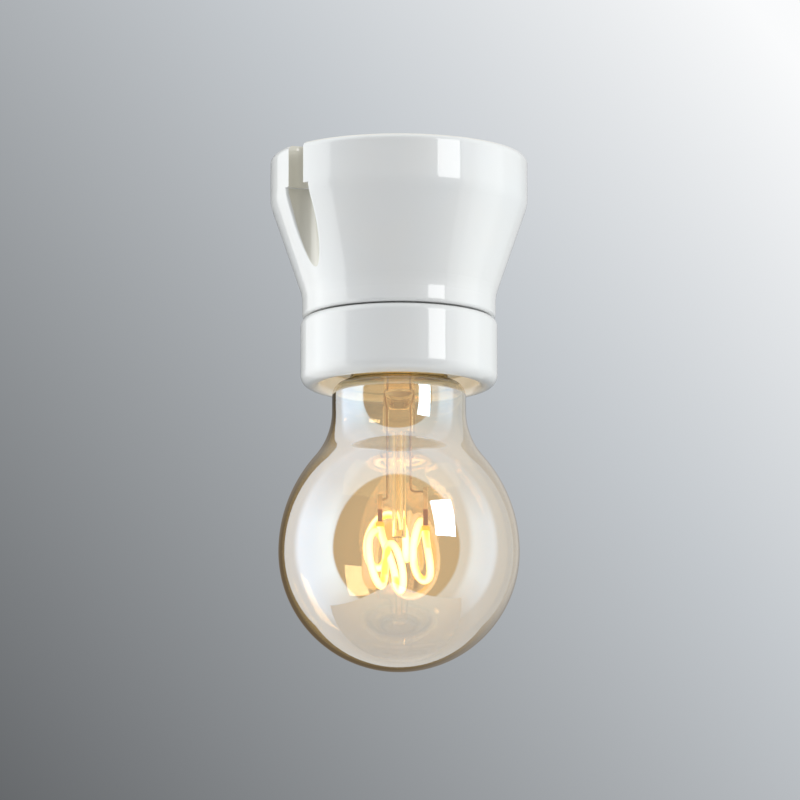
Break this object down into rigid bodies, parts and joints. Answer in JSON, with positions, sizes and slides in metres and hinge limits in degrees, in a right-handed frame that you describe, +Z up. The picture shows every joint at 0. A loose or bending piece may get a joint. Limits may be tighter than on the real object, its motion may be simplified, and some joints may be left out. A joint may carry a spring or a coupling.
{
  "type": "batten lamp holder with bulb",
  "caption": "White porcelain ceiling lamp holder with a screw-on ring and a clear spiral-filament bulb that unscrews.",
  "frame": {"origin": "centre of the ceiling face, on the lamp's axis", "axes": "+Z up into the ceiling, the lamp hangs along -Z; X through the two mounting screw notches"},
  "size_m": [0.0642, 0.0644, 0.1296],
  "materials": {
    "glazed_porcelain": "white glaze, high gloss",
    "bare_porcelain": "unglazed off-white",
    "shell_brass": "drawn, bright",
    "spring_bronze": "rolled strip",
    "terminal_brass": "machined",
    "screw_steel": "zinc plated",
    "solder": "dull solder",
    "cap_brass": "bright",
    "black_glass": "black vitreous",
    "amber_glass": "clear, light amber coat",
    "cement": "matte",
    "clear_glass": "clear",
    "lead_wire": "drawn wire",
    "tab_metal": "bright strip",
    "filament_glow": "glowing coated strand",
    "board": "white circuit board",
    "capacitor_sleeve": "dark sleeve",
    "chip_black": "moulded",
    "resistor_body": "coated"
  },
  "bodies": {
    "holder": {"porcelain_base": "glazed_porcelain", "socket_insert": "bare_porcelain", "screw_shell": "shell_brass", "centre_contact": "spring_bronze", "live_terminal": "terminal_brass", "neutral_terminal": "terminal_brass", "fixing_screws": "screw_steel", "clamp_screws": "screw_steel"},
    "ring": {"porcelain_ring": "glazed_porcelain"},
    "lamp_tip": {"cap_contact": "solder"},
    "lamp": {"cap_shell": "cap_brass", "cap_insulator": "black_glass", "glass_envelope": "amber_glass", "basing_cement": "cement", "glass_stem": "clear_glass", "lead_left": "lead_wire", "lead_right": "lead_wire", "filament_tab_left": "tab_metal", "filament_tab_right": "tab_metal", "filament": "filament_glow", "driver_board": "board", "smoothing_capacitor": "capacitor_sleeve", "driver_chip": "chip_black", "bridge_rectifier": "chip_black", "fuse_resistor": "resistor_body", "live_wire": "lead_wire", "neutral_wire": "lead_wire"}
  },
  "joints": [
    {"name": "ring_travel", "type": "slide", "parent": "holder", "child": "ring", "axis": [0, 0, -1], "range_m": [0, 0.01]},
    {"name": "lamp_travel", "type": "slide", "parent": "holder", "child": "lamp_tip", "axis": [0, 0, -1], "range_m": [0, 0.02]},
    {"name": "lamp_turn", "type": "hinge", "parent": "lamp_tip", "child": "lamp", "pos_m": [0, 0, 0], "axis": [0, 0, -1], "range_deg": [0, 1980]}
  ],
  "couplings": [
    {"joint": "lamp_travel", "follows": "lamp_turn", "m_per_rad": 0.00057757}
  ]
}
